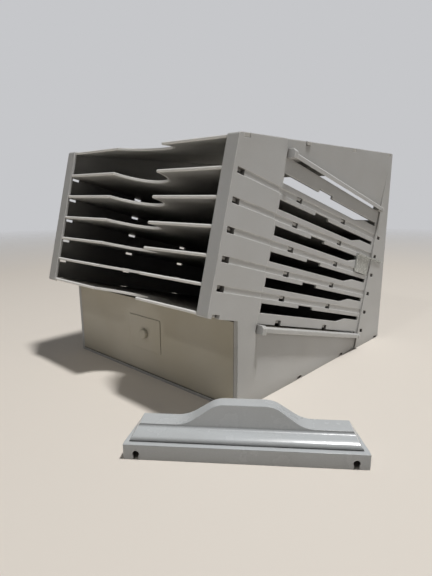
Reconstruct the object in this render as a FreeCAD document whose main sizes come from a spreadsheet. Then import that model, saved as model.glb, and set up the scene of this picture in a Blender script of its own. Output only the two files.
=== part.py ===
import FreeCAD, Part
import os
import Sketcher

# Sheet collator rack: six sloping bins between two side panels, on a base with a drawer.
# Level frame: +Z up, the front faces -Y, the origin is the middle of the base's footprint.
# Block frame: the front bottom edge of the overhanging block, turned down by the tilt. Its X runs
# across, its Y back along the shelves and its Z up the front face.

SIZES = [
    # Rack as a whole.
    ("width", 256.0),
    ("base_depth", 300.0),
    ("overhang", 38.0),
    ("height", 239.1),
    ("block_low", 95.6),
    ("tilt", 15.0),
    ("fit", 0.3),
    ("seat", 0.2),
    # Side panels.
    ("wall", 4.5),
    ("post_width", 12.8),
    ("post_depth", 3.0),
    ("corner_round", 2.0),
    # Rows of the shelves, measured up the front face.
    ("row_first", 2.2),
    ("row_pitch", 23.85),
    ("shelf_length", 303.0),
    ("shelf_thick", 2.4),
    ("shelf_inset", 0.8),
    ("bead_thick", 2.8),
    ("bead_wide", 3.0),
    ("bead_round", 1.2),
    ("finger_round", 34.0),
    ("tab_first", 9.0),
    ("tab_pitch", 94.2),
    ("tab_wide", 7.6),
    ("tab_slack", 2.2),
    ("left_tab_room", 4.5),
    ("right_tab_room", 1.5),
    ("tab_reach", 0.7),
    ("stud_inset", 11.0),
    ("stud_size", 3.6),
    ("stud_drop", 1.0),
    ("stud_room", 3.6),
    ("groove_high", 5.0),
    ("groove_deep", 0.6),
    # Windows of the right panel, heights measured down from the shelf above.
    ("window_front", 71.5),
    ("window_rear", 281.0),
    ("window_top", 8.0),
    ("window_high", 9.0),
    ("window_gate_at", 136.0),
    ("window_gate_long", 28.5),
    ("window_gate_high", 3.0),
    ("ramp_front", 226.0),
    ("ramp_rear", 246.0),
    ("ramp_high", 4.5),
    # Recessed field of the right panel and its two rails.
    ("recess_deep", 2.0),
    ("recess_front", 67.0),
    ("recess_rear", 285.0),
    ("taper_long", 46.0),
    ("upper_edge_y", -84.0),
    ("lower_edge_y", -125.0),
    ("rail_front", 71.5),
    ("rail_rear", 281.0),
    ("rail_high", 5.4),
    ("rail_reach", 4.0),
    ("rail_bevel", 1.2),
    ("rail_gap", 1.2),
    ("rail_rise", 1.8),
    ("rail_web", 1.2),
    ("rail_foot", 5.0),
    ("rail_open", 1.9),
    ("rail_flange", 1.6),
    ("rail_lap", 2.5),
    ("head_long", 5.5),
    ("head_over", 1.5),
    ("head_reach", 6.8),
    ("heel_long", 4.0),
    ("heel_over", 0.2),
    ("heel_reach", 4.8),
    ("upper_rail_low", 151.8),
    ("lower_rail_low", -8.5),
    # Top cover and floor plate.
    ("cover_thick", 2.4),
    ("cover_drop", 1.0),
    ("cover_setback", 3.9),
    ("cover_lip", 23.0),
    ("cover_round", 0.9),
    ("floor_thick", 3.0),
    ("level_tab_inset", 9.6),
    ("level_tab_wide", 7.6),
    ("cover_tab_reach", 4.2),
    ("floor_tab_reach", 1.2),
    # Drawer.
    ("front_thick", 3.0),
    ("front_gap", 1.2),
    ("front_drop", 1.8),
    ("side_gap", 0.4),
    ("tray_depth", 199.0),
    ("tray_wall", 2.2),
    ("tray_drop", 3.0),
    ("runner_wide", 2.6),
    ("runner_high", 6.0),
    ("runner_long", 280.0),
    ("travel", 60.0),
    ("stop_across", 60.0),
    ("stop_inset", 8.0),
    ("stop_size", 8.0),
    ("stop_peg", 5.0),
    ("stop_deep", 2.2),
    # Knob on the drawer.
    ("knob_height", 47.5),
    ("knob_size", 10.5),
    ("knob_long", 3.8),
    ("knob_round", 1.4),
    ("knob_bore", 2.4),
    ("plate_wide", 50.0),
    ("plate_high", 36.0),
    ("plate_thick", 0.8),
    ("screw_size", 3.0),
    ("screw_head", 6.4),
    ("screw_head_high", 2.0),
    # Clip on the window under the second shelf.
    ("clip_front", 246.0),
    ("clip_long", 33.0),
    ("clip_low", 26.4),
    ("clip_high", 22.0),
    ("clip_thick", 1.5),
    ("clip_hook_long", 26.0),
    ("clip_arm_long", 34.0),
    ("clip_arm_high", 1.8),
    # Loose cap in front of the rack.
    ("cap_x", 112.3),
    ("cap_y", -263.0),
    ("cap_turn", 38.1),
    ("cap_long", 179.0),
    ("cap_depth", 32.5),
    ("cap_wall", 2.2),
    ("cap_skirt", 11.9),
    ("cap_ledge", 4.4),
    ("cap_undercut", 0.9),
    ("cap_nose_back", 1.6),
    ("cap_nose_high", 4.1),
    ("cap_nose_turn", 53.0),
    ("cap_bead_high", 6.3),
    ("cap_cove", 2.0),
    ("cap_top", 21.0),
    ("cap_end_foot", 3.4),
    ("cap_end_top", 9.3),
    ("crest_front", 16.0),
    ("crest_lean", 2.0),
    ("crest_back_lean", 2.5),
    ("hump_rise", 16.4),
    ("hump_flat", 30.6),
    ("hump_slope", 35.0),
    ("hump_crown", 20.0),
    ("hump_foot", 28.0),
    ("keyhole_inset", 9.4),
    ("keyhole_height", 4.6),
    ("keyhole_size", 5.0),
    ("keyhole_slot", 4.0),
]

SHELF_ROWS = {"shelf_1": 5, "shelf_2": 4, "shelf_3": 3, "shelf_4": 2, "shelf_5": 1, "bottom_shelf": 0}
ROW_COUNT = 6
TAB_COUNT = 3
LEVEL_TAB_COUNT = 4
CLIP_ROW = 4

INNER = "(size.width / 2 - size.wall)"
EDGE = "(%s - size.seat)" % INNER
BLOCK_Y = "(-size.base_depth / 2 - size.overhang)"
TRAY_FRONT = "(-size.base_depth / 2 + size.front_thick)"
TRAY_LOW = "(size.floor_thick + size.fit)"
STOP_AT = "(%s + size.tray_depth - size.stop_inset)" % TRAY_FRONT
FRONT_LONG = "((size.height - size.block_low) / cos(size.tilt))"
BASE_FRONT = "(-size.base_depth / 2)"
TOP_FRONT = "(%s + (size.height - size.block_low) * tan(size.tilt))" % BLOCK_Y
STUD_AT = "(size.shelf_length - size.stud_inset)"
COVER_LOW = "(size.height - size.cover_drop - size.cover_thick)"
BETWEEN_POSTS = "(size.width / 2 - size.post_width - size.fit)"
RECESS_LOW = "size.lower_rail_low"
RECESS_HIGH = "(size.upper_rail_low + size.rail_high)"

doc = FreeCAD.newDocument("rack")


def make_sheet():
    sheet = doc.addObject("Spreadsheet::Sheet", "size")
    for row, (alias, value) in enumerate(SIZES, start=1):
        cell = "B%d" % row
        sheet.set("A%d" % row, alias)
        sheet.set(cell, str(value))
        sheet.setAlias(cell, alias)
    doc.recompute()


# Expressions for heights and places.

def row_height(row):
    return "(size.row_first + size.row_pitch * %d)" % row


def in_block(level_y, level_z):
    """A place in the level frame, written in the block frame's Y and Z."""
    along = "(%s - %s)" % (level_y, BLOCK_Y)
    up = "(%s - size.block_low)" % level_z
    block_y = "%s * cos(size.tilt) - %s * sin(size.tilt)" % (along, up)
    block_z = "%s * sin(size.tilt) + %s * cos(size.tilt)" % (along, up)
    return block_y, block_z


def rectangle(low_x, low_y, high_x, high_y):
    return [(low_x, low_y), (high_x, low_y), (high_x, high_y), (low_x, high_y)]


# Bodies, sketches and features.

def new_body(name):
    body = doc.addObject("PartDesign::Body", name)
    body.Label = name
    return body


def place(body, x="0", y="0", z="0", turn=None):
    """Put a body in the level frame, with a turn about the vertical where one is given."""
    if turn:
        body.Placement = FreeCAD.Placement(FreeCAD.Vector(), FreeCAD.Rotation(FreeCAD.Vector(0, 0, 1), 1))
        body.setExpression("Placement.Rotation.Angle", turn)
    body.setExpression("Placement.Base.x", x)
    body.setExpression("Placement.Base.y", y)
    body.setExpression("Placement.Base.z", z)


def place_in_block(body, x="0", up="0"):
    """Put a body in the block frame, a distance up the front face."""
    body.Placement = FreeCAD.Placement(FreeCAD.Vector(), FreeCAD.Rotation(FreeCAD.Vector(-1, 0, 0), 1))
    body.setExpression("Placement.Rotation.Angle", "size.tilt")
    body.setExpression("Placement.Base.x", x)
    body.setExpression("Placement.Base.y", "%s + %s * sin(size.tilt)" % (BLOCK_Y, up))
    body.setExpression("Placement.Base.z", "size.block_low + %s * cos(size.tilt)" % up)


def update(*items):
    for item in items:
        item.recompute()


def new_sketch(body, name, plane, level):
    sketch = body.newObject("Sketcher::SketchObject", name)
    origin_plane = [item for item in body.Origin.OriginFeatures if item.Role == plane][0]
    sketch.AttachmentSupport = [(origin_plane, "")]
    sketch.MapMode = "FlatFace"
    sketch.setExpression("AttachmentOffset.Base.z", level)
    return sketch


def pin_point(sketch, geometry, position, x, y, start):
    """Hold a point of the sketch at the distances that two expressions give."""
    across = Sketcher.Constraint("DistanceX", -1, 1, geometry, position, start.x)
    sketch.setExpression("Constraints[%d]" % sketch.addConstraint(across), x)
    up = Sketcher.Constraint("DistanceY", -1, 1, geometry, position, start.y)
    sketch.setExpression("Constraints[%d]" % sketch.addConstraint(up), y)


def outline(body, name, plane, corners, level="0", arcs=None):
    """A closed outline through corners; arcs gives some edges a radius and a rough, signed bulge."""
    sketch = new_sketch(body, name, plane, level)
    count = len(corners)
    for index, (x, y) in enumerate(corners):
        start = FreeCAD.Vector(index + 1, (index + 1) ** 2, 0)
        sketch.addGeometry(Part.Point(start), True)
        pin_point(sketch, index, 1, x, y, start)
    sketch.recompute()
    places = [FreeCAD.Vector(sketch.Geometry[i].X, sketch.Geometry[i].Y, 0) for i in range(count)]
    for index in range(count):
        following = (index + 1) % count
        if arcs and index in arcs:
            add_arc(sketch, index, following, places, arcs[index])
        else:
            add_line(sketch, index, following, places)
    return sketch


def add_line(sketch, first, second, places):
    edge = sketch.addGeometry(Part.LineSegment(places[first], places[second]), False)
    sketch.addConstraint(Sketcher.Constraint("Coincident", edge, 1, first, 1))
    sketch.addConstraint(Sketcher.Constraint("Coincident", edge, 2, second, 1))


def add_arc(sketch, first, second, places, arc):
    radius, bulge = arc
    chord = places[second] - places[first]
    middle = (places[first] + places[second]) * 0.5
    aside = FreeCAD.Vector(-chord.y, chord.x, 0) * bulge
    start, end = (first, second) if bulge < 0 else (second, first)
    curve = Part.Arc(places[start], middle + aside, places[end])
    edge = sketch.addGeometry(curve, False)
    sketch.addConstraint(Sketcher.Constraint("Coincident", edge, 1, start, 1))
    sketch.addConstraint(Sketcher.Constraint("Coincident", edge, 2, end, 1))
    held = sketch.addConstraint(Sketcher.Constraint("Radius", edge, sketch.Geometry[edge].Radius))
    sketch.setExpression("Constraints[%d]" % held, radius)


def disc(body, name, plane, centre, radius, level="0"):
    sketch = new_sketch(body, name, plane, level)
    start = FreeCAD.Vector(1, 1, 0)
    circle = sketch.addGeometry(Part.Circle(start, FreeCAD.Vector(0, 0, 1), 1), False)
    pin_point(sketch, circle, 3, centre[0], centre[1], start)
    held = sketch.addConstraint(Sketcher.Constraint("Radius", circle, 1.0))
    sketch.setExpression("Constraints[%d]" % held, radius)
    return sketch


def pad(body, sketch, length):
    """Add material from the sketch along its plane's normal."""
    feature = body.newObject("PartDesign::Pad", sketch.Name + "_pad")
    feature.Profile = sketch
    feature.setExpression("Length", length)
    sketch.Visibility = False
    update(sketch, feature)
    return feature


def pocket(body, sketch, length, against_normal=False):
    """Take material away from the sketch on, along its plane's normal or against it."""
    before = body.Tip.Shape.Volume
    feature = body.newObject("PartDesign::Pocket", sketch.Name + "_pocket")
    feature.Profile = sketch
    feature.Reversed = not against_normal
    feature.setExpression("Length", length)
    sketch.Visibility = False
    update(sketch, feature)
    if feature.Shape.Volume > before - 0.01:
        raise RuntimeError("%s takes nothing away" % feature.Name)
    return feature


def repeat(body, feature, sketch, axis, pitch, count):
    """Repeat a feature in equal steps along an axis of its sketch."""
    pattern = body.newObject("PartDesign::LinearPattern", feature.Name + "_row")
    pattern.Originals = [feature]
    pattern.Direction = (sketch, [axis])
    pattern.setExpression("Length", "%s * %d" % (pitch, count - 1))
    pattern.Occurrences = count
    body.Tip = pattern
    update(pattern)
    return pattern


def round_corners(body, radius, corners):
    """Round the edges along X that stand at the given places in the body's own Y and Z."""
    solid = body.Tip
    picked = []
    for number, edge in enumerate(solid.Shape.Edges, start=1):
        first, last = edge.Vertexes[0].Point, edge.Vertexes[-1].Point
        along_x = abs(first.y - last.y) < 0.01 and abs(first.z - last.z) < 0.01
        if along_x and any(abs(first.y - y) < 0.01 and abs(first.z - z) < 0.01 for y, z in corners):
            picked.append("Edge%d" % number)
    feature = body.newObject("PartDesign::Fillet", body.Name + "_round")
    feature.Base = (solid, picked)
    feature.setExpression("Radius", radius)
    update(feature)


# Side panels. Depths run from the outer face inwards.

def wall_span(side, near, far):
    """Level and length of a pad or pocket between two depths in a side panel."""
    level = "-(%s)" % far if side > 0 else near
    return level, "%s - (%s)" % (far, near)


def wall_pad(body, name, side, corners, near, far):
    level, length = wall_span(side, near, far)
    return pad(body, outline(body, name, "YZ_Plane", corners, level), length)


def wall_pocket(body, name, side, corners, near, far):
    level, length = wall_span(side, near, far)
    sketch = outline(body, name, "YZ_Plane", corners, level)
    return sketch, pocket(body, sketch, length)


def panel_outline():
    half = "size.base_depth / 2"
    step_z = "(size.block_low - size.overhang * tan(size.tilt))"
    return [
        ("0", "0"),
        in_block("-" + half, step_z),
        in_block("-" + half, "0"),
        in_block(half, "0"),
        in_block(half, "size.height"),
        ("0", FRONT_LONG),
    ]


def tab_window(height, at_y, room):
    """Four corners of a hole that takes a shelf's tab and stays open below it and behind it."""
    low = "%s - size.shelf_thick / 2 - size.fit - size.tab_slack" % height
    high = "%s + size.shelf_thick / 2 + size.fit" % height
    half = "(size.tab_wide / 2 + size.fit)"
    return rectangle("%s - %s" % (at_y, half), low, "%s + %s + %s" % (at_y, half, room), high)


def cut_shelf_seats(body, side):
    """Holes for the three tabs and the rear stud of every shelf."""
    room = "size.right_tab_room" if side > 0 else "size.left_tab_room"
    for number in range(TAB_COUNT):
        at_y = "(size.tab_first + size.tab_pitch * %d)" % number
        corners = tab_window(row_height(0), at_y, room)
        name = "%s_tab%d" % (body.Name, number)
        sketch, hole = wall_pocket(body, name, side, corners, "-1", "size.wall + 1")
        repeat(body, hole, sketch, "V_Axis", "size.row_pitch", ROW_COUNT)
    half = "(size.stud_size / 2 + size.fit)"
    middle = row_height(0) + " - size.stud_drop"
    corners = rectangle(
        "%s - %s" % (STUD_AT, half), "%s - %s" % (middle, half),
        "%s + %s + size.stud_room" % (STUD_AT, half), "%s + %s" % (middle, half))
    sketch, hole = wall_pocket(body, body.Name + "_stud", side, corners, "-1", "size.wall + 1")
    repeat(body, hole, sketch, "V_Axis", "size.row_pitch", ROW_COUNT)


def level_tabs(front):
    """First place and pitch of the tabs along a level edge that starts at the given Y."""
    first = "(%s + size.level_tab_inset)" % front
    last = "(size.base_depth / 2 - size.level_tab_inset)"
    return first, "((%s - %s) / %d)" % (last, first, LEVEL_TAB_COUNT - 1)


def cut_level_seats(body, side):
    """Notches in the level top and bottom edges for the tabs of the cover and the floor plate."""
    edges = {
        "top": (TOP_FRONT, "(%s - size.fit)" % COVER_LOW, "(size.height + 1)"),
        "foot": (BASE_FRONT, "(-1)", "(size.floor_thick + size.fit)"),
    }
    for edge, (edge_front, low, high) in edges.items():
        first, pitch = level_tabs(edge_front)
        for number in range(LEVEL_TAB_COUNT):
            middle = "(%s + %s * %d)" % (first, pitch, number)
            half = "(size.level_tab_wide / 2 + size.fit)"
            front, rear = "(%s - %s)" % (middle, half), "(%s + %s)" % (middle, half)
            corners = [in_block(front, low), in_block(rear, low), in_block(rear, high), in_block(front, high)]
            wall_pocket(body, "%s_%s%d" % (body.Name, edge, number), side, corners, "-1", "size.wall + 1")


def cut_grooves(body, side, front, rear, near, far, tag):
    """A shallow groove along every row but the lowest."""
    middle = row_height(1) + " - size.stud_drop"
    low = middle + " - size.groove_high / 2"
    high = middle + " + size.groove_high / 2"
    corners = rectangle(front, low, rear, high)
    sketch, groove = wall_pocket(body, body.Name + tag, side, corners, near, far)
    repeat(body, groove, sketch, "V_Axis", "size.row_pitch", ROW_COUNT - 1)


def make_panel(name, side):
    body = new_body(name)
    place_in_block(body, "%d * size.width / 2" % side)
    wall_pad(body, name + "_plate", side, panel_outline(), "0", "size.wall")
    post = [("0", "0"), ("size.post_depth", "0")]
    post.append(("size.post_depth", "%s + size.post_depth * tan(size.tilt)" % FRONT_LONG))
    post.append(("0", FRONT_LONG))
    wall_pad(body, name + "_post", side, post, "0", "size.post_width")
    places = [(point.x, point.y) for point in corner_points(body)]
    round_corners(body, "size.corner_round", [places[0], places[4], places[5]])
    return body


def corner_points(body):
    sketch = doc.getObject(body.Name + "_plate")
    return [FreeCAD.Vector(sketch.Geometry[i].X, sketch.Geometry[i].Y, 0) for i in range(6)]


def make_left_panel():
    body = make_panel("left_side_panel", -1)
    cut_grooves(body, -1, "size.tab_first", STUD_AT, "-1", "size.groove_deep", "_groove")
    cut_shelf_seats(body, -1)
    cut_level_seats(body, -1)


def cut_taper(body, name, start, along, base_z, direction):
    """Take a wedge off the outer face that runs out flush away from a rail."""
    tip = "%s + %d * size.taper_long * 2" % (base_z, direction)
    corners = [("-size.recess_deep", base_z), ("size.recess_deep", base_z), ("size.recess_deep", tip)]
    sketch = outline(body, name, "XZ_Plane", corners, "-(%s)" % start)
    pocket(body, sketch, along, against_normal=True)


def straight_at(level_y, block_z):
    """Block Y of the place at a level Y and a block Z."""
    return "(%s - %s - %s * sin(size.tilt)) / cos(size.tilt)" % (level_y, BLOCK_Y, block_z)


def cut_recess(body):
    corners = rectangle("size.recess_front", RECESS_LOW, "size.recess_rear", RECESS_HIGH)
    wall_pocket(body, "recess", 1, corners, "-1", "size.recess_deep")
    upper_start = "(size.recess_front - 16)"
    upper_long = "size.recess_rear - %s" % upper_start
    cut_taper(body, "upper_taper", upper_start, upper_long, RECESS_HIGH, 1)
    lower_long = "size.recess_rear - size.recess_front"
    cut_taper(body, "lower_taper", "size.recess_front", lower_long, RECESS_LOW, -1)
    upper_fill = [
        (upper_start + " - 1", RECESS_HIGH),
        (straight_at("size.upper_edge_y", RECESS_HIGH), RECESS_HIGH),
        in_block("size.upper_edge_y", "size.height"),
        (upper_start + " - 1", "%s + (%s - 1) * tan(size.tilt)" % (FRONT_LONG, upper_start)),
    ]
    wall_pad(body, "upper_fill", 1, upper_fill, "0", "size.recess_deep + 0.5")
    fill_foot = "(%s - size.taper_long - 4)" % RECESS_LOW
    lower_fill = [
        ("size.recess_front - 1", RECESS_LOW),
        ("size.recess_front - 1", fill_foot),
        (straight_at("size.lower_edge_y", fill_foot), fill_foot),
        (straight_at("size.lower_edge_y", RECESS_LOW) + " + 0.01", RECESS_LOW),
    ]
    wall_pad(body, "lower_fill", 1, lower_fill, "0", "size.recess_deep + 0.5")


def cut_windows(body):
    top = "(%s - size.window_top)" % row_height(1)
    low = "(%s - size.window_high)" % top
    gate_top = "(%s + size.window_gate_high)" % top
    gate_rear = "size.window_gate_at + size.window_gate_long"
    ramp_top = "%s + size.ramp_high" % low
    corners = [
        ("size.window_front", low),
        ("size.ramp_front", low),
        ("size.ramp_rear", ramp_top),
        ("size.window_rear", ramp_top),
        ("size.window_rear", top),
        (gate_rear, top),
        (gate_rear, gate_top),
        ("size.window_gate_at", gate_top),
        ("size.window_gate_at", top),
        ("size.window_front", top),
    ]
    sketch, window = wall_pocket(body, "window", 1, corners, "-1", "size.wall + 1")
    repeat(body, window, sketch, "V_Axis", "size.row_pitch", ROW_COUNT)


def cut_rail_slots(body):
    """A long slot behind each rail; the lower one is also open above its rail."""
    lower_top = "size.lower_rail_low + size.rail_high + size.rail_open"
    slots = {
        "upper_slot": ("size.upper_rail_low - size.seat", RECESS_HIGH + " + size.seat"),
        "lower_slot": ("size.lower_rail_low - size.seat", lower_top),
    }
    for name, (low, high) in slots.items():
        corners = rectangle("size.rail_front - size.seat", low, "size.rail_rear + size.seat", high)
        wall_pocket(body, name, 1, corners, "-1", "size.wall + 1")


def make_right_panel():
    body = make_panel("right_side_panel", 1)
    cut_recess(body)
    cut_grooves(body, 1, "size.tab_first", "size.recess_front", "-1", "size.groove_deep", "_groove")
    deep = "size.recess_deep + size.groove_deep"
    cut_grooves(body, 1, "size.recess_front - 1", "size.recess_rear", "-1", deep, "_inner_groove")
    cut_windows(body)
    cut_rail_slots(body)
    cut_shelf_seats(body, 1)
    cut_level_seats(body, 1)


# Rails: each stands off the panel on a foot at both ends. The feet pass through the slot and bear on
# the panel's inner face with a flange.

def rail_foot(low, top, away):
    """Outline of a foot, whose flange laps over the panel on the side away from the windows."""
    back = "(-size.wall)"
    deep = "(-size.wall - size.rail_flange)"
    out = "(size.rail_gap + 0.5)"
    if away > 0:
        lap = top + " + size.rail_lap"
        return [(deep, low), (out, low), (out, top), (back, top), (back, lap), (deep, lap)]
    lap = low + " - size.rail_lap"
    return [(deep, lap), (back, lap), (back, low), (out, low), (out, top), (deep, top)]


def make_rail(name, low, away):
    """A hooked bar with a web along its top, two feet, a thick head in front and a small heel."""
    body = new_body(name)
    place_in_block(body, "size.width / 2")
    top = "(%s + size.rail_high)" % low
    end_back = "(-size.recess_deep + size.seat)"
    bar = [
        ("size.rail_gap", low + " + size.rail_rise"),
        ("size.rail_reach", low),
        ("size.rail_reach", top + " - size.rail_bevel"),
        ("size.rail_reach - size.rail_bevel", top),
        (end_back, top),
        (end_back, top + " - size.rail_web"),
        ("size.rail_gap", top + " - size.rail_web"),
    ]
    sketch = outline(body, name + "_bar", "XZ_Plane", bar, "-size.rail_rear")
    pad(body, sketch, "size.rail_rear - size.rail_front")
    foot = rail_foot(low, top, away)
    for tag, rear in (("front_foot", "(size.rail_front + size.rail_foot)"), ("rear_foot", "size.rail_rear")):
        sketch = outline(body, "%s_%s" % (name, tag), "XZ_Plane", foot, "-" + rear)
        pad(body, sketch, "size.rail_foot")
    ends = {
        "head": ("(size.rail_front - 2)", "size.head_long", "size.head_over", "size.head_reach"),
        "heel": ("(size.rail_rear - 1)", "size.heel_long", "size.heel_over", "size.heel_reach"),
    }
    for tag, (start, long, over, reach) in ends.items():
        block = [
            (end_back, "%s - %s" % (low, over)),
            (reach, "%s - %s" % (low, over)),
            (reach, "%s + %s - 2 * size.rail_bevel" % (top, over)),
            ("%s - 2 * size.rail_bevel" % reach, "%s + %s" % (top, over)),
            (end_back, "%s + %s" % (top, over)),
        ]
        sketch = outline(body, "%s_%s" % (name, tag), "XZ_Plane", block, "-(%s + %s)" % (start, long))
        pad(body, sketch, long)


# Shelves.

def plate_plan(front, behind_post, rear):
    """A plate that fills the rack's inside and comes forward between the posts."""
    return [
        ("-" + BETWEEN_POSTS, front),
        (BETWEEN_POSTS, front),
        (BETWEEN_POSTS, behind_post),
        (EDGE, behind_post),
        (EDGE, rear),
        ("-" + EDGE, rear),
        ("-" + EDGE, behind_post),
        ("-" + BETWEEN_POSTS, behind_post),
    ]


def make_shelf(name, row):
    body = new_body(name)
    place_in_block(body, up=row_height(row))
    bottom = "-size.shelf_thick / 2"
    plan = plate_plan("size.shelf_inset", "(size.post_depth + size.fit)", "size.shelf_length")
    pad(body, outline(body, name + "_plan", "XY_Plane", plan, bottom), "size.shelf_thick")
    add_shelf_bead(body)
    round_front(body, doc.getObject(name + "_strip"), "size.bead_round")
    add_shelf_tabs(body)
    lip = rectangle("-%s" % EDGE, "size.shelf_length - size.shelf_thick", EDGE, "size.shelf_length")
    pad(body, outline(body, name + "_lip", "XY_Plane", lip, "0"), "size.row_pitch - size.shelf_thick / 2")
    finger = disc(body, name + "_finger", "XY_Plane", ("0", "size.shelf_inset"), "size.finger_round", "-5")
    pocket(body, finger, "10")


def add_shelf_bead(body):
    """A thicker strip along the front edge and around the finger notch."""
    low = "-size.bead_thick / 2"
    rim = "(size.finger_round + size.bead_wide)"
    strip_rear = "size.shelf_inset + size.bead_wide"
    front = "size.shelf_inset"
    strip = rectangle("-" + BETWEEN_POSTS, front, BETWEEN_POSTS, strip_rear)
    pad(body, outline(body, body.Name + "_strip", "XY_Plane", strip, low), "size.bead_thick")
    top = ("0", "%s + %s" % (front, rim))
    corners = [("-" + rim, front), (rim, front), top]
    arcs = {1: (rim, -0.2), 2: (rim, -0.2)}
    pad(body, outline(body, body.Name + "_rim", "XY_Plane", corners, low, arcs), "size.bead_thick")


def round_front(body, sketch, radius):
    """Round the two long edges of the front that a padded sketch's first corner lies on."""
    front = sketch.Geometry[0].Y
    low = sketch.AttachmentOffset.Base.z
    high = low + doc.getObject(sketch.Name + "_pad").Length.Value
    round_corners(body, radius, [(front, low), (front, high)])


def add_shelf_tabs(body):
    """Three tabs and a round stud on both sides, which reach into the panels."""
    reach = "(%s + size.tab_reach)" % INNER
    for side in (-1, 1):
        tag = "_right" if side > 0 else "_left"
        low_x, high_x = ("-" + reach, "-%s + 5" % EDGE) if side < 0 else (EDGE + " - 5", reach)
        front = "size.tab_first - size.tab_wide / 2"
        tab = rectangle(low_x, front, high_x, front + " + size.tab_wide")
        sketch = outline(body, body.Name + tag + "_tab", "XY_Plane", tab, "-size.shelf_thick / 2")
        repeat(body, pad(body, sketch, "size.shelf_thick"), sketch, "V_Axis", "size.tab_pitch", TAB_COUNT)
        centre = (STUD_AT, "-size.stud_drop")
        stud = disc(body, body.Name + tag + "_stud", "YZ_Plane", centre, "size.stud_size / 2", low_x)
        pad(body, stud, "%s - (%s)" % (high_x, low_x))


# Top cover and floor plate.

def add_level_tabs(body, edge_front, thick, tab_reach):
    """Tabs on both sides of a level plate, which go into the notches in the panels' edges."""
    reach = "(%s + %s)" % (INNER, tab_reach)
    first, pitch = level_tabs(edge_front)
    front = "%s - size.level_tab_wide / 2" % first
    for tag, low_x, high_x in (("_left", "-" + reach, "-%s + 1" % EDGE), ("_right", EDGE + " - 1", reach)):
        tab = rectangle(low_x, front, high_x, front + " + size.level_tab_wide")
        sketch = outline(body, body.Name + tag + "_tab", "XY_Plane", tab)
        repeat(body, pad(body, sketch, thick), sketch, "V_Axis", pitch, LEVEL_TAB_COUNT)


def make_cover():
    body = new_body("top_cover")
    place(body, z=COVER_LOW)
    rear = "size.base_depth / 2"
    front = "(%s + size.shelf_inset)" % TOP_FRONT
    plan = plate_plan(front, "(%s + size.cover_setback)" % TOP_FRONT, rear)
    sketch = outline(body, "cover_plan", "XY_Plane", plan)
    pad(body, sketch, "size.cover_thick")
    round_front(body, sketch, "size.cover_round")
    add_level_tabs(body, TOP_FRONT, "size.cover_thick + size.cover_drop", "size.cover_tab_reach")
    lip = rectangle("-" + EDGE, rear + " - size.cover_thick", EDGE, rear)
    sketch = outline(body, "cover_lip", "XY_Plane", lip, "size.cover_thick - size.cover_lip")
    pad(body, sketch, "size.cover_lip")
    finger = disc(body, "cover_finger", "XY_Plane", ("0", front), "size.finger_round", "-5")
    pocket(body, finger, "10")


def make_floor():
    body = new_body("base_floor")
    place(body)
    half = "size.base_depth / 2"
    plan = rectangle("-" + EDGE, "-" + half, EDGE, half)
    pad(body, outline(body, "floor_plan", "XY_Plane", plan), "size.floor_thick")
    add_level_tabs(body, BASE_FRONT, "size.floor_thick", "size.floor_tab_reach")
    half_slot = "(size.stop_size / 2 + size.fit)"
    for side in (-1, 1):
        middle = "%d * size.stop_across" % side
        slot = rectangle(
            "%s - %s" % (middle, half_slot), "%s - size.travel - %s" % (STOP_AT, half_slot),
            "%s + %s" % (middle, half_slot), "%s + %s" % (STOP_AT, half_slot))
        name = "stop_slot_right" if side > 0 else "stop_slot_left"
        pocket(body, outline(body, name, "XY_Plane", slot, "-1"), "size.floor_thick + 2")


# Drawer: a front between the panels and a tray whose top edge follows the sloping bottom shelf.

DRAWER_HALF = "(%s - size.side_gap)" % INNER
TRAY_HALF = "(%s - size.runner_wide - size.fit)" % INNER


def pair_across(body, label):
    """The body and its mirror image about the rack's middle plane, as one node."""
    mirror = doc.addObject("Part::Mirroring", body.Name + "_mirror")
    mirror.Source = body
    mirror.Normal = (1, 0, 0)
    mirror.Base = (0, 0, 0)
    pair = doc.addObject("Part::Compound", label)
    pair.Label = label
    pair.Links = [body, mirror]


def make_runners():
    body = new_body("runner")
    place(body)
    inner_edge = "(%s - size.runner_wide)" % INNER
    front = "(-size.base_depth / 2 + size.front_thick + 2)"
    section = rectangle(inner_edge, front, INNER, "%s + size.runner_long" % front)
    pad(body, outline(body, "runner_plan", "XY_Plane", section, "size.floor_thick"), "size.runner_high")
    pair_across(body, "drawer_runners")


def make_drawer_front():
    body = new_body("drawer_front")
    place(body)
    low = "size.floor_thick + size.front_gap"
    high = "size.block_low - size.overhang * tan(size.tilt) - size.front_drop"
    face = rectangle("-" + DRAWER_HALF, low, DRAWER_HALF, high)
    sketch = outline(body, "front_face", "XZ_Plane", face, "size.base_depth / 2 - size.front_thick")
    pad(body, sketch, "size.front_thick")
    drill_screw_hole(body, "front_hole")


def drill_screw_hole(body, name):
    centre = ("0", "size.knob_height")
    radius = "size.screw_size / 2 + size.fit"
    pocket(body, disc(body, name, "XZ_Plane", centre, radius, "size.base_depth / 2 - 20"), "25")


def tray_top(level_y):
    """Height of the tray's edge, a little below the underside of the bottom shelf."""
    return "size.block_low - (%s - %s) * tan(size.tilt) - size.tray_drop" % (level_y, BLOCK_Y)


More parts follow.
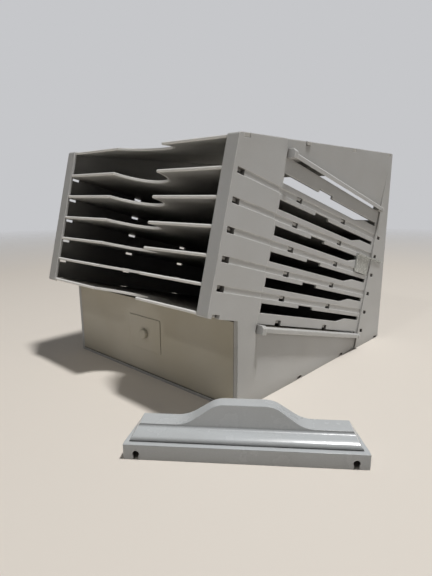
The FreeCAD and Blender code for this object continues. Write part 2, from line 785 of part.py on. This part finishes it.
def make_tray():
    body = new_body("drawer_tray")
    place(body)
    rear = "(%s + size.tray_depth)" % TRAY_FRONT
    side = [
        (TRAY_FRONT, TRAY_LOW),
        (rear, TRAY_LOW),
        (rear, tray_top(rear)),
        (TRAY_FRONT, tray_top(TRAY_FRONT)),
    ]
    pad(body, outline(body, "tray_side", "YZ_Plane", side, "-" + TRAY_HALF), "2 * " + TRAY_HALF)
    inside = rectangle(
        "-%s + size.tray_wall" % TRAY_HALF, "%s + size.tray_wall" % TRAY_FRONT,
        "%s - size.tray_wall" % TRAY_HALF, "%s - size.tray_wall" % rear)
    pocket(body, outline(body, "tray_inside", "XY_Plane", inside, "%s + size.tray_wall" % TRAY_LOW), "200")
    for across in (-1, 1):
        middle = "%d * size.stop_across" % across
        half = "(size.stop_peg / 2 + size.fit)"
        hole = rectangle(
            "%s - %s" % (middle, half), "%s - %s" % (STOP_AT, half),
            "%s + %s" % (middle, half), "%s + %s" % (STOP_AT, half))
        name = "peg_hole_right" if across > 0 else "peg_hole_left"
        pocket(body, outline(body, name, "XY_Plane", hole, "0"), "10")
    drill_screw_hole(body, "tray_hole")


def make_stops():
    """Two studs under the tray that run in the slots of the floor plate."""
    body = new_body("stop")
    place(body, "size.stop_across", STOP_AT)
    half = "size.stop_size / 2"
    foot = rectangle("-" + half, "-" + half, half, half)
    low = "%s - size.stop_deep" % TRAY_LOW
    pad(body, outline(body, "stop_foot", "XY_Plane", foot, low), "size.stop_deep")
    half = "size.stop_peg / 2"
    peg = rectangle("-" + half, "-" + half, half, half)
    pad(body, outline(body, "stop_shank", "XY_Plane", peg, low), "size.stop_deep + size.tray_wall")
    pair_across(body, "drawer_stops")


PLATE_FRONT = "(-size.base_depth / 2 - size.plate_thick)"
KNOB_END = "(%s - size.knob_bore)" % PLATE_FRONT


def make_knob_plate():
    body = new_body("knob_plate")
    place(body, y=PLATE_FRONT + " + size.plate_thick", z="size.knob_height")
    half_wide, half_high = "size.plate_wide / 2", "size.plate_high / 2"
    face = rectangle("-" + half_wide, "-" + half_high, half_wide, half_high)
    pad(body, outline(body, "plate_face", "XZ_Plane", face), "size.plate_thick")
    hole = disc(body, "plate_hole", "XZ_Plane", ("0", "0"), "size.screw_size / 2 + size.fit", "-5")
    pocket(body, hole, "10")


def turn_body(name, label, profile, arcs=None):
    """A body turned about a line along Y at the knob's height; the profile gives Y and radius."""
    body = new_body(label)
    place(body, z="size.knob_height")
    sketch = outline(body, name, "YZ_Plane", profile, arcs=arcs)
    feature = body.newObject("PartDesign::Revolution", name + "_turned")
    feature.Profile = sketch
    feature.ReferenceAxis = (sketch, ["H_Axis"])
    feature.Angle = 360
    sketch.Visibility = False


def make_knob():
    """A low round knob, solid but for the blind hole that its screw comes into from behind."""
    bore = "size.screw_size / 2 + size.fit"
    outer = "size.knob_size / 2"
    face = PLATE_FRONT + " - size.knob_long"
    profile = [
        (PLATE_FRONT, bore),
        (PLATE_FRONT, outer),
        (face + " + size.knob_round", outer),
        (face, outer + " - size.knob_round"),
        (face, "0"),
        (KNOB_END, "0"),
        (KNOB_END, bore),
    ]
    turn_body("knob_profile", "drawer_knob", profile, {2: ("size.knob_round", -0.2)})


def make_knob_screw():
    shank = "size.screw_size / 2"
    head = "size.screw_head / 2"
    seat = "(%s + size.tray_wall)" % TRAY_FRONT
    profile = [
        (KNOB_END + " + size.fit", "0"),
        (KNOB_END + " + size.fit", shank),
        (seat, shank),
        (seat, head),
        (seat + " + size.screw_head_high - 0.6", head),
        (seat + " + size.screw_head_high", head + " - 0.8"),
        (seat + " + size.screw_head_high", "0"),
    ]
    turn_body("screw_profile", "knob_screw", profile)


# Clip: an outer plate in the recess, a hook through the narrow end of a window, an arm to the rear.

def make_clip():
    name = "side_clip"
    body = new_body(name)
    place_in_block(body, "size.width / 2", row_height(CLIP_ROW))
    outer_low = "(-size.recess_deep + size.fit)"
    outer_high = "(%s + size.clip_thick)" % outer_low
    rear = "size.clip_front + size.clip_long"
    low, high = "-size.clip_low", "-size.clip_low + size.clip_high"
    plate = rectangle("size.clip_front", low, rear, high)
    pad(body, outline(body, "clip_plate", "YZ_Plane", plate, outer_low), "size.clip_thick")
    arm_low = "%s - size.clip_arm_high" % high
    top_strip = rectangle("size.clip_front", arm_low, rear, high)
    arm_out = "(size.fit + 1.2)"
    pad(body, outline(body, "clip_strip", "YZ_Plane", top_strip, outer_low), "%s - %s" % (arm_out, outer_low))
    arm = rectangle(rear + " - 2", arm_low, rear + " + size.clip_arm_long", high)
    pad(body, outline(body, "clip_arm", "YZ_Plane", arm, "size.fit"), "1.2")
    hook_front = "size.clip_front + (size.clip_long - size.clip_hook_long) / 2"
    hook_rear = hook_front + " + size.clip_hook_long"
    hook_top = "(-size.window_top - 2 * size.fit)"
    hook_low = "(-size.window_top - size.window_high + size.ramp_high + 2 * size.fit)"
    hook = rectangle(hook_front, hook_low, hook_rear, hook_top)
    inner = "(-size.wall - size.fit - size.clip_thick)"
    pad(body, outline(body, "clip_hook", "YZ_Plane", hook, inner), "%s - %s" % (outer_high, inner))
    claw_top = "(-size.window_top + size.window_gate_high - 2 * size.fit)"
    claw = rectangle(hook_front, hook_low, hook_rear, claw_top)
    pad(body, outline(body, "clip_claw", "YZ_Plane", claw, inner), "size.clip_thick")


# Cap: a hollow bar with keyholes in its skirt, a bead, and a crest that rises to a hump.

BEAD_TOP = "(size.cap_skirt + size.cap_bead_high)"
NOSE_TOP = "(size.cap_skirt + size.cap_nose_high)"
NOSE_Y = "(size.cap_ledge + size.cap_nose_back)"
HUMP_TOP = "(size.cap_top + size.hump_rise)"


def make_cap():
    body = new_body("front_cap")
    place(body, "size.cap_x", "size.cap_y", turn="size.cap_turn")
    bead_y = "(size.crest_front - size.cap_cove)"
    nose_foot = "(size.cap_ledge + size.cap_undercut)"
    section = [
        ("0", "0"),
        ("size.cap_depth", "0"),
        ("size.cap_depth", "size.cap_top"),
        ("size.crest_front", "size.cap_top"),
        ("size.crest_front", BEAD_TOP + " + size.cap_cove"),
        (bead_y, BEAD_TOP),
        (NOSE_Y, NOSE_TOP),
        (nose_foot, "size.cap_skirt"),
        ("0", "size.cap_skirt"),
    ]
    run = "(%s - %s)" % (bead_y, NOSE_Y)
    fall = "(%s - %s)" % (BEAD_TOP, NOSE_TOP)
    bead = "((%s ^ 2 + %s ^ 2) / (2 * %s))" % (run, fall, fall)
    nose_chord = "sqrt((%s - %s) ^ 2 + size.cap_nose_high ^ 2)" % (NOSE_Y, nose_foot)
    nose = "(%s / (2 * sin(size.cap_nose_turn)))" % nose_chord
    arcs = {4: ("size.cap_cove", 0.2), 5: (bead, -0.1), 6: (nose, -0.25)}
    pad(body, outline(body, "cap_section", "YZ_Plane", section, "0", arcs), "size.cap_long")
    add_hump(body)
    slope_ends(body)
    narrow_skirt(body)
    hollow_cap(body)
    cut_keyholes(body)


def add_hump(body):
    """A hump with rounded shoulders and feet, whose front and back lean in towards its top."""
    middle = "size.cap_long / 2"
    across = "sin(size.hump_slope)"
    rise = "(1 - cos(size.hump_slope))"
    flat = "(size.hump_flat / 2)"
    shoulder = "(%s + size.hump_crown * %s)" % (flat, across)
    flank = "((size.hump_rise - (size.hump_crown + size.hump_foot) * %s) / tan(size.hump_slope))" % rise
    ankle = "(%s + %s)" % (shoulder, flank)
    foot = "(%s + size.hump_foot * %s)" % (ankle, across)
    half = [
        (foot, "size.cap_top"),
        (ankle, "size.cap_top + size.hump_foot * %s" % rise),
        (shoulder, "%s - size.hump_crown * %s" % (HUMP_TOP, rise)),
        (flat, HUMP_TOP),
    ]
    right = [("%s + %s" % (middle, x), z) for x, z in half]
    left = [("%s - %s" % (middle, x), z) for x, z in reversed(half)]
    buried = [
        ("%s - %s" % (middle, foot), "size.cap_top - 1"),
        ("%s + %s" % (middle, foot), "size.cap_top - 1"),
    ]
    crown, hollow = ("size.hump_crown", -0.1), ("size.hump_foot", 0.1)
    arcs = {2: hollow, 4: crown, 6: crown, 8: hollow}
    sketch = outline(body, "hump", "XZ_Plane", buried + right + left, "-size.cap_depth", arcs)
    pad(body, sketch, "size.cap_depth - size.crest_front")
    lean_crest(body, "crest_front_face", "size.crest_front", "size.crest_lean", -1)
    lean_crest(body, "crest_back_face", "size.cap_depth", "-size.crest_back_lean", 1)


def lean_crest(body, name, base_y, lean, outwards):
    """Take a wedge off one face of the hump, from nothing at its foot to the lean at its top."""
    clear = "(%s + %d * 5)" % (base_y, outwards)
    top_y = "%s + (%s)" % (base_y, lean)
    corners = [
        (base_y, "size.cap_top"),
        (top_y, HUMP_TOP),
        (top_y, HUMP_TOP + " + 1"),
        (clear, HUMP_TOP + " + 1"),
        (clear, "size.cap_top"),
    ]
    pocket(body, outline(body, name, "YZ_Plane", corners, "-1"), "size.cap_long + 2")


def slope_ends(body):
    """Slope both ends of the bead and the crest inwards above the skirt."""
    for tag, end, inwards in (("near", "0", 1), ("far", "size.cap_long", -1)):
        corners = [
            ("%s - %d" % (end, inwards), "size.cap_skirt"),
            ("%s + %d * size.cap_end_foot" % (end, inwards), "size.cap_skirt"),
            ("%s + %d * size.cap_end_top" % (end, inwards), "size.cap_top"),
            ("%s + %d * size.cap_end_top" % (end, inwards), "size.cap_top + 1"),
            ("%s - %d" % (end, inwards), "size.cap_top + 1"),
        ]
        sketch = outline(body, tag + "_end", "XZ_Plane", corners, "-(size.cap_depth + 1)")
        pocket(body, sketch, "size.cap_depth + 2")


def narrow_skirt(body):
    """Bring both ends of the skirt in towards its rear, where they meet the sloped ends."""
    for tag, end, inwards in (("near", "0", 1), ("far", "size.cap_long", -1)):
        corners = [
            (end, "size.cap_ledge"),
            ("%s + %d * size.cap_end_foot" % (end, inwards), "size.cap_depth"),
            ("%s + %d * size.cap_end_foot" % (end, inwards), "size.cap_depth + 1"),
            ("%s - %d" % (end, inwards), "size.cap_depth + 1"),
            ("%s - %d" % (end, inwards), "size.cap_ledge"),
        ]
        pocket(body, outline(body, tag + "_skirt_end", "XY_Plane", corners, "-1"), "size.cap_skirt + 1")


def hollow_cap(body):
    wall = "size.cap_wall"
    low_roof = "size.cap_skirt - size.cap_wall"
    rear = "size.cap_depth - size.cap_wall"
    skirt = rectangle(wall, "-1", rear, low_roof)
    low_end = "(size.cap_end_foot + size.cap_wall)"
    pocket(body, outline(body, "skirt_inside", "YZ_Plane", skirt, low_end), "size.cap_long - 2 * " + low_end)
    roof = "size.cap_top - size.cap_wall"
    crest_y = "size.crest_front + size.cap_wall"
    section = [
        ("size.cap_ledge + size.cap_undercut + " + wall, low_roof + " - 1"),
        (rear, low_roof + " - 1"),
        (rear, roof),
        (crest_y, roof),
        (crest_y, BEAD_TOP + " - " + wall),
        ("size.crest_front - size.cap_cove", BEAD_TOP + " - " + wall),
        (NOSE_Y + " + " + wall, NOSE_TOP + " - " + wall),
    ]
    end = "(size.cap_end_top + size.cap_wall)"
    pocket(body, outline(body, "crest_inside", "YZ_Plane", section, end), "size.cap_long - 2 * " + end)
    middle = "size.cap_long / 2"
    low_half = "(size.hump_flat / 2 + size.hump_crown)"
    top_half = "(size.hump_flat / 2 - 1)"
    top = HUMP_TOP + " - " + wall
    corners = [
        ("%s - %s" % (middle, low_half), roof + " - 1"),
        ("%s + %s" % (middle, low_half), roof + " - 1"),
        ("%s + %s" % (middle, top_half), top),
        ("%s - %s" % (middle, top_half), top),
    ]
    inside_front = "(size.crest_front + size.crest_lean + size.cap_wall)"
    inside_rear = "(size.cap_depth - size.crest_back_lean - size.cap_wall)"
    sketch = outline(body, "hump_inside", "XZ_Plane", corners, "-" + inside_rear)
    pocket(body, sketch, "%s - %s" % (inside_rear, inside_front))


def cut_keyholes(body):
    for tag, middle in (("near", "size.keyhole_inset"), ("far", "(size.cap_long - size.keyhole_inset)")):
        centre = (middle, "size.keyhole_height")
        depth = "-(size.cap_wall + 1)"
        pocket(body, disc(body, tag + "_eye", "XZ_Plane", centre, "size.keyhole_size / 2", depth), "10")
        half = "size.keyhole_slot / 2"
        slot = rectangle("%s - %s" % (middle, half), "-1", "%s + %s" % (middle, half), "size.keyhole_height")
        pocket(body, outline(body, tag + "_slot", "XZ_Plane", slot, depth), "10")


# Build, check and write.

NODES = [
    "right_side_panel", "left_side_panel", "top_cover", "shelf_1", "shelf_2", "shelf_3", "shelf_4", "shelf_5",
    "bottom_shelf", "base_floor", "upper_rail", "lower_rail", "drawer_runners", "drawer_front", "drawer_tray",
    "drawer_stops", "knob_plate", "drawer_knob", "knob_screw", "side_clip", "front_cap",
]


def build():
    make_sheet()
    make_right_panel()
    make_left_panel()
    make_rail("upper_rail", "size.upper_rail_low", 1)
    make_rail("lower_rail", "size.lower_rail_low", -1)
    for name, row in SHELF_ROWS.items():
        make_shelf(name, row)
    make_cover()
    make_floor()
    make_runners()
    make_drawer_front()
    make_tray()
    make_stops()
    make_knob_plate()
    make_knob()
    make_knob_screw()
    make_clip()
    make_cap()
    doc.recompute()


def check():
    for item in doc.Objects:
        if "Invalid" in item.State or "Error" in item.State:
            raise RuntimeError("%s is %s" % (item.Name, item.State))
    for name in NODES:
        shape = doc.getObject(name).Shape
        if shape.isNull() or not shape.isValid() or not shape.Solids:
            raise RuntimeError("%s has no valid solid" % name)


def write():
    os.makedirs("parts", exist_ok=True)
    for name in NODES:
        doc.getObject(name).Shape.exportStep("parts/%s.step" % name)


build()
check()
write()
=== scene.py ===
import math
import bpy
from mathutils import Matrix, Vector

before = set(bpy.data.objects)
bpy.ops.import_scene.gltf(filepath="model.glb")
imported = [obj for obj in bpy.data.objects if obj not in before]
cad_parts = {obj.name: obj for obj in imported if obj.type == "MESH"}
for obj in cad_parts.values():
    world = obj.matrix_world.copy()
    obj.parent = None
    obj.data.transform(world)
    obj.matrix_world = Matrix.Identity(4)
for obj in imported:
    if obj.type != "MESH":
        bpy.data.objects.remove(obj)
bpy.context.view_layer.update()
scene = bpy.context.scene

IMAGE_WIDE, IMAGE_HIGH = 432, 576


# Node helpers.

class Graph:
    """A material's nodes, added and linked by short calls."""

    def __init__(self, name):
        self.material = bpy.data.materials.new(name)
        self.material.use_nodes = True
        self.tree = self.material.node_tree
        self.tree.nodes.clear()

    def node(self, kind, **settings):
        made = self.tree.nodes.new("ShaderNode" + kind)
        for key, value in settings.items():
            setattr(made, key, value)
        return made

    def link(self, source, target):
        self.tree.links.new(source, target)

    def put(self, target, value):
        """Set a socket to a number or a colour, or link it to another socket."""
        if isinstance(value, bpy.types.NodeSocket):
            self.link(value, target)
        else:
            target.default_value = value

    def math(self, operation, first, second=0.0, clamp=False):
        made = self.node("Math", operation=operation, use_clamp=clamp)
        self.put(made.inputs[0], first)
        self.put(made.inputs[1], second)
        return made.outputs[0]

    def ramp(self, value, low, high, low_out=0.0, high_out=1.0):
        """A number between low and high stretched to another range."""
        made = self.node("MapRange")
        self.put(made.inputs["Value"], value)
        made.inputs["From Min"].default_value = low
        made.inputs["From Max"].default_value = high
        made.inputs["To Min"].default_value = low_out
        made.inputs["To Max"].default_value = high_out
        return made.outputs["Result"]

    def mix(self, factor, first, second, blend="MIX"):
        made = self.node("Mix", data_type="RGBA", blend_type=blend)
        self.put(made.inputs["Factor"], factor)
        self.put(made.inputs["A"], first)
        self.put(made.inputs["B"], second)
        return made.outputs["Result"]

    def noise(self, vector, scale, detail=2.0, rough=0.5, distortion=0.0):
        made = self.node("TexNoise")
        self.link(vector, made.inputs["Vector"])
        made.inputs["Scale"].default_value = scale
        made.inputs["Detail"].default_value = detail
        made.inputs["Roughness"].default_value = rough
        made.inputs["Distortion"].default_value = distortion
        return made.outputs["Fac"]

    def stretched(self, vector, turn, scale):
        made = self.node("Mapping")
        self.link(vector, made.inputs["Vector"])
        made.inputs["Rotation"].default_value = turn
        made.inputs["Scale"].default_value = scale
        return made.outputs["Vector"]


def rgba(red, green, blue):
    """A screen colour as the linear values that a shader takes."""
    def linear(value):
        part = value / 255
        return part / 12.92 if part <= 0.04045 else ((part + 0.055) / 1.055) ** 2.4
    return (linear(red), linear(green), linear(blue), 1.0)


# Materials.

def moulded(name, colour, aged, pale_wear_and_highlight, roughness=0.46, grain=0.00006, edge_round=0.0009, edge_highlight_level=0.9, dust_and_shade=0.8,
            front_highlight=None):
    """Moulded plastic: slow yellowing, fine grain, dust and painted shade in corners, a painted highlight along
    edges, thin scuffs.

    The last argument is an axis and a place along it: the strip behind that front is painted pale as a highlight.
    """
    graph = Graph(name)
    place = graph.node("TexCoord").outputs["Object"]
    shader = graph.node("BsdfPrincipled")
    output = graph.node("OutputMaterial")
    graph.link(shader.outputs["BSDF"], output.inputs["Surface"])

    slow = graph.ramp(graph.noise(place, 9.0, 3.0, 0.55), 0.35, 0.7)
    tint = graph.mix(slow, colour, aged)
    speckle = graph.ramp(graph.noise(place, 1400.0, 1.0), 0.3, 0.7, 0.96, 1.03)
    tint = graph.mix(1.0, tint, grey(graph, speckle), "MULTIPLY")

    # Edges are painted paler where the rounded normal turns from the face: a painted highlight along the edges,
    # in patches.
    rounded = graph.node("Bevel", samples=6)
    rounded.inputs["Radius"].default_value = edge_round
    geometry = graph.node("NewGeometry")
    cosine = graph.node("VectorMath", operation="DOT_PRODUCT")
    graph.link(rounded.outputs["Normal"], cosine.inputs[0])
    graph.link(geometry.outputs["Normal"], cosine.inputs[1])
    edge_highlight = graph.ramp(cosine.outputs["Value"], 0.995, 0.9)
    patchy = graph.ramp(graph.noise(place, 60.0, 4.0, 0.7), 0.35, 0.6, edge_highlight_level * 0.3, edge_highlight_level)
    tint = graph.mix(graph.math("MULTIPLY", edge_highlight, patchy, True), tint, pale_wear_and_highlight)

    # Corners and bin insides are darkened towards brown: dust, plus painted shade where light does not reach.
    corner = graph.node("AmbientOcclusion", samples=6)
    corner.inputs["Distance"].default_value = 0.03
    painted_corner_shade = graph.ramp(corner.outputs["AO"], 0.7, 0.15, 0.0, dust_and_shade)
    tint = graph.mix(painted_corner_shade, tint, rgba(78, 69, 60))
    # The front strip is painted pale: a painted highlight where the front edges catch the light.
    if front_highlight:
        tint = graph.mix(painted_front_highlight(graph, place, *front_highlight), tint, pale_wear_and_highlight)

    streaks = graph.noise(graph.stretched(place, (0.4, 0.2, 0.1), (35.0, 260.0, 420.0)), 1.0, 3.0, 0.6, 0.6)
    scuff = graph.ramp(streaks, 0.70, 0.78, 0.0, 0.35)
    cloud = graph.ramp(graph.noise(place, 22.0, 3.0, 0.6), 0.52, 0.66)
    scuff = graph.math("MULTIPLY", scuff, cloud, True)
    tint = graph.mix(scuff, tint, pale_wear_and_highlight)
    graph.link(tint, shader.inputs["Base Color"])

    wear = graph.ramp(graph.noise(place, 30.0, 4.0, 0.6), 0.3, 0.7, roughness - 0.06, roughness + 0.08)
    graph.link(graph.math("ADD", wear, graph.math("MULTIPLY", scuff, 0.2)), shader.inputs["Roughness"])
    shader.inputs["IOR"].default_value = 1.5
    shader.inputs["Specular IOR Level"].default_value = 0.5

    pebbles = graph.noise(place, 1900.0, 2.0, 0.5)
    waves = graph.noise(place, 14.0, 1.0)
    height = graph.math("ADD", graph.math("MULTIPLY", pebbles, grain), graph.math("MULTIPLY", waves, 0.0006))
    bump = graph.node("Bump")
    bump.inputs["Distance"].default_value = 1.0
    bump.inputs["Strength"].default_value = 0.55
    graph.link(height, bump.inputs["Height"])
    graph.link(rounded.outputs["Normal"], bump.inputs["Normal"])
    graph.link(bump.outputs["Normal"], shader.inputs["Normal"])
    return graph.material


def painted_front_highlight(graph, place, axis, front):
    """A mask for a painted highlight: the strip behind the front and around its finger notch, with a blotchy
    limit.
    """
    along = graph.node("VectorMath", operation="DOT_PRODUCT")
    graph.link(place, along.inputs[0])
    along.inputs[1].default_value = axis
    depth = graph.math("SUBTRACT", along.outputs["Value"], front)
    across = graph.node("SeparateXYZ")
    graph.link(place, across.inputs[0])
    squares = [graph.math("MULTIPLY", side, side) for side in (across.outputs["X"], depth)]
    from_notch = graph.math("SUBTRACT", graph.math("SQRT", graph.math("ADD", *squares)), NOTCH_ROUND)
    blotches = graph.math("MULTIPLY", graph.noise(place, 160.0, 3.0, 0.6), 0.0012)
    inward = graph.math("ADD", graph.math("MINIMUM", depth, from_notch), blotches)
    return graph.ramp(inward, FRONT_HIGHLIGHT_DEEP, FRONT_HIGHLIGHT_DEEP / 2, 0.0, 0.95)


def grey(graph, value):
    made = graph.node("CombineColor")
    for channel in ("Red", "Green", "Blue"):
        graph.link(value, made.inputs[channel])
    return made.outputs["Color"]


def clear_plastic(name):
    """Cloudy clear plastic with dulled edges and fine scratches."""
    graph = Graph(name)
    place = graph.node("TexCoord").outputs["Object"]
    shader = graph.node("BsdfPrincipled")
    output = graph.node("OutputMaterial")
    graph.link(shader.outputs["BSDF"], output.inputs["Surface"])
    haze = graph.ramp(graph.noise(place, 90.0, 3.0, 0.6), 0.35, 0.7)
    graph.link(graph.mix(haze, rgba(226, 228, 224), rgba(206, 209, 204)), shader.inputs["Base Color"])
    scratches = graph.noise(graph.stretched(place, (0.0, 0.3, 0.0), (80.0, 900.0, 300.0)), 1.0, 3.0)
    graph.link(graph.ramp(scratches, 0.4, 0.75, 0.12, 0.4), shader.inputs["Roughness"])
    shader.inputs["Transmission Weight"].default_value = 0.45
    shader.inputs["IOR"].default_value = 1.49
    bump = graph.node("Bump")
    bump.inputs["Distance"].default_value = 0.0002
    bump.inputs["Strength"].default_value = 0.4
    graph.link(scratches, bump.inputs["Height"])
    graph.link(bump.outputs["Normal"], shader.inputs["Normal"])
    return graph.material


def plain_steel(name):
    """Zinc-plated steel with turning marks and dull spots."""
    graph = Graph(name)
    place = graph.node("TexCoord").outputs["Object"]
    shader = graph.node("BsdfPrincipled")
    output = graph.node("OutputMaterial")
    graph.link(shader.outputs["BSDF"], output.inputs["Surface"])
    spots = graph.ramp(graph.noise(place, 700.0, 4.0, 0.65), 0.4, 0.65)
    graph.link(graph.mix(spots, rgba(196, 194, 188), rgba(150, 146, 138)), shader.inputs["Base Color"])
    shader.inputs["Metallic"].default_value = 1.0
    graph.link(graph.ramp(spots, 0.0, 1.0, 0.28, 0.5), shader.inputs["Roughness"])
    bump = graph.node("Bump")
    bump.inputs["Distance"].default_value = 0.0001
    bump.inputs["Strength"].default_value = 0.5
    graph.link(graph.noise(place, 1600.0, 2.0), bump.inputs["Height"])
    graph.link(bump.outputs["Normal"], shader.inputs["Normal"])
    return graph.material


def cover_nodes(material, *names):
    """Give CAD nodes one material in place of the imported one."""
    for name in names:
        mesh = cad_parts[name].data
        mesh.materials.clear()
        mesh.materials.append(material)


FRONT_HIGHLIGHT_DEEP = 0.0032
NOTCH_ROUND = 0.034
LEVEL_BACK = Vector((0.0, 1.0, 0.0))
BLOCK_BACK = Vector((0.0, math.cos(math.radians(15.0)), -math.sin(math.radians(15.0))))


def front_along(name, axis):
    """Where a CAD node starts along an axis."""
    return min(vertex.co.dot(axis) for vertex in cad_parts[name].data.vertices)


def make_materials():
    panel = moulded("panel_grey", rgba(198, 199, 199), rgba(192, 192, 190), rgba(236, 236, 234),
                    edge_round=0.0012, edge_highlight_level=1.2)
    # Shelves and cover carry a stronger painted edge highlight and a painted highlight along their front strip.
    shelf = moulded("shelf_grey", rgba(199, 199, 196), rgba(191, 190, 185), rgba(242, 241, 238),
                    roughness=0.38, edge_round=0.0010, edge_highlight_level=1.6,
                    front_highlight=(BLOCK_BACK, front_along("shelf_1", BLOCK_BACK)))
    cover = moulded("cover_grey", rgba(199, 199, 196), rgba(191, 190, 185), rgba(242, 241, 238),
                    roughness=0.38, edge_round=0.0010, edge_highlight_level=1.6,
                    front_highlight=(LEVEL_BACK, front_along("top_cover", LEVEL_BACK)))
    # The drawer grey is warmed yellow: its own grey plus painted bounce light from the pale table.
    front = moulded("drawer_grey_bounce_warmed", rgba(198, 193, 180), rgba(190, 183, 164), rgba(224, 220, 209), grain=0.00008)
    runner = moulded("runner_grey", rgba(205, 205, 201), rgba(198, 197, 191), rgba(224, 223, 218), roughness=0.36)
    cap = moulded("cap_grey", rgba(191, 195, 198), rgba(184, 187, 188), rgba(222, 225, 227), roughness=0.25)
    cover_nodes(panel, "right_side_panel", "left_side_panel", "upper_rail", "lower_rail", "base_floor")
    cover_nodes(cover, "top_cover")
    cover_nodes(shelf, "bottom_shelf", *["shelf_%d" % number for number in range(1, 6)])
    cover_nodes(front, "drawer_front", "drawer_tray", "knob_plate", "drawer_knob")
    cover_nodes(runner, "drawer_runners", "drawer_stops")
    cover_nodes(cap, "front_cap")
    cover_nodes(clear_plastic("clip_clear"), "side_clip")
    cover_nodes(plain_steel("screw_steel"), "knob_screw")


# Floor, background and lamps.

def make_stage():
    """A pale table top that fades into the background far behind the object."""
    bpy.ops.mesh.primitive_plane_add(size=14.0, location=(0.0, 0.0, 0.0))
    floor = bpy.context.object
    floor.name = "stage_floor"
    graph = Graph("stage_pale")
    place = graph.node("TexCoord").outputs["Object"]
    surface = graph.node("BsdfPrincipled")
    surface.inputs["Base Color"].default_value = rgba(222, 215, 206)
    surface.inputs["Roughness"].default_value = 0.75
    length = graph.node("VectorMath", operation="LENGTH")
    graph.link(place, length.inputs[0])
    fade = graph.ramp(length.outputs["Value"], 0.75, 2.2)
    clear = graph.node("BsdfTransparent")
    mixer = graph.node("MixShader")
    graph.link(fade, mixer.inputs["Fac"])
    graph.link(surface.outputs["BSDF"], mixer.inputs[1])
    graph.link(clear.outputs["BSDF"], mixer.inputs[2])
    output = graph.node("OutputMaterial")
    graph.link(mixer.outputs["Shader"], output.inputs["Surface"])
    floor.data.materials.append(graph.material)


def make_world():
    """Faint light from above, and a pale wall where the camera looks past the object."""
    world = bpy.data.worlds.new("studio")
    world.use_nodes = True
    scene.world = world
    tree = world.node_tree
    tree.nodes.clear()
    output = tree.nodes.new("ShaderNodeOutputWorld")
    direction = tree.nodes.new("ShaderNodeTexCoord")
    parts = tree.nodes.new("ShaderNodeSeparateXYZ")
    tree.links.new(direction.outputs["Generated"], parts.inputs[0])
    from_above = tree.nodes.new("ShaderNodeMapRange")
    tree.links.new(parts.outputs["Z"], from_above.inputs["Value"])
    from_above.inputs["From Min"].default_value = 0.0
    from_above.inputs["From Max"].default_value = 0.8
    from_above.inputs["To Min"].default_value = WORLD_LOW
    from_above.inputs["To Max"].default_value = WORLD_HIGH
    light = tree.nodes.new("ShaderNodeBackground")
    light.inputs["Color"].default_value = (0.97, 0.98, 1.0, 1.0)
    tree.links.new(from_above.outputs["Result"], light.inputs["Strength"])
    seen = tree.nodes.new("ShaderNodeBackground")
    seen.inputs["Color"].default_value = rgba(198, 199, 202)
    path = tree.nodes.new("ShaderNodeLightPath")
    either = tree.nodes.new("ShaderNodeMath")
    either.operation = "MAXIMUM"
    tree.links.new(path.outputs["Is Camera Ray"], either.inputs[0])
    tree.links.new(path.outputs["Is Transmission Ray"], either.inputs[1])
    mixer = tree.nodes.new("ShaderNodeMixShader")
    tree.links.new(either.outputs[0], mixer.inputs["Fac"])
    tree.links.new(light.outputs[0], mixer.inputs[1])
    tree.links.new(seen.outputs[0], mixer.inputs[2])
    tree.links.new(mixer.outputs[0], output.inputs["Surface"])


def lamp(name, place, aim, size, watts, colour):
    data = bpy.data.lights.new(name, "AREA")
    data.shape = "DISK"
    data.size = size
    data.energy = watts
    data.color = colour
    made = bpy.data.objects.new(name, data)
    scene.collection.objects.link(made)
    made.location = place
    made.rotation_euler = (Vector(aim) - Vector(place)).to_track_quat("-Z", "Y").to_euler()


WORLD_LOW, WORLD_HIGH = 0.03, 0.12


def make_lamps():
    lamp("lamp_top", (0.73, 0.29, 3.20), (0.0, -0.1, 0.1), 0.34, 87.0, (1.0, 0.99, 0.975))
    lamp("lamp_front", (0.12, -1.40, 1.60), (0.0, -0.1, 0.08), 0.14, 2.9, (1.0, 0.985, 0.96))
    lamp("lamp_side", (1.25, -0.15, 0.28), (0.1, -0.05, 0.08), 0.50, 0.5, (1.0, 0.985, 0.965))


# Camera: the photograph's viewing angle, from a fit of the rack's corners.

FOCAL_PIXELS = 448.86
CENTRE_PIXEL = (211.16, 300.26)
YAW, PITCH, ROLL = math.radians(43.180), math.radians(13.357), math.radians(-0.303)
EYE = (0.364355, -0.435245, 0.191818)


def make_camera():
    ahead = Vector((-math.sin(YAW) * math.cos(PITCH), math.cos(YAW) * math.cos(PITCH), -math.sin(PITCH)))
    right = Vector((math.cos(YAW), math.sin(YAW), 0.0))
    above = right.cross(ahead)
    turned_right = right * math.cos(ROLL) + above * math.sin(ROLL)
    turned_above = above * math.cos(ROLL) - right * math.sin(ROLL)
    data = bpy.data.cameras.new("camera")
    data.sensor_fit = "AUTO"
    data.sensor_width = 36.0
    data.lens = FOCAL_PIXELS * 36.0 / IMAGE_HIGH
    data.shift_x = (IMAGE_WIDE / 2 - CENTRE_PIXEL[0]) / IMAGE_HIGH
    data.shift_y = (CENTRE_PIXEL[1] - IMAGE_HIGH / 2) / IMAGE_HIGH
    data.clip_start = 0.01
    camera = bpy.data.objects.new("camera", data)
    scene.collection.objects.link(camera)
    axes = Matrix((turned_right, turned_above, -ahead)).transposed()
    camera.matrix_world = Matrix.Translation(EYE) @ axes.to_4x4()
    scene.camera = camera


scene.view_settings.view_transform = "Standard"
make_materials()
make_stage()
make_world()
make_lamps()
make_camera()
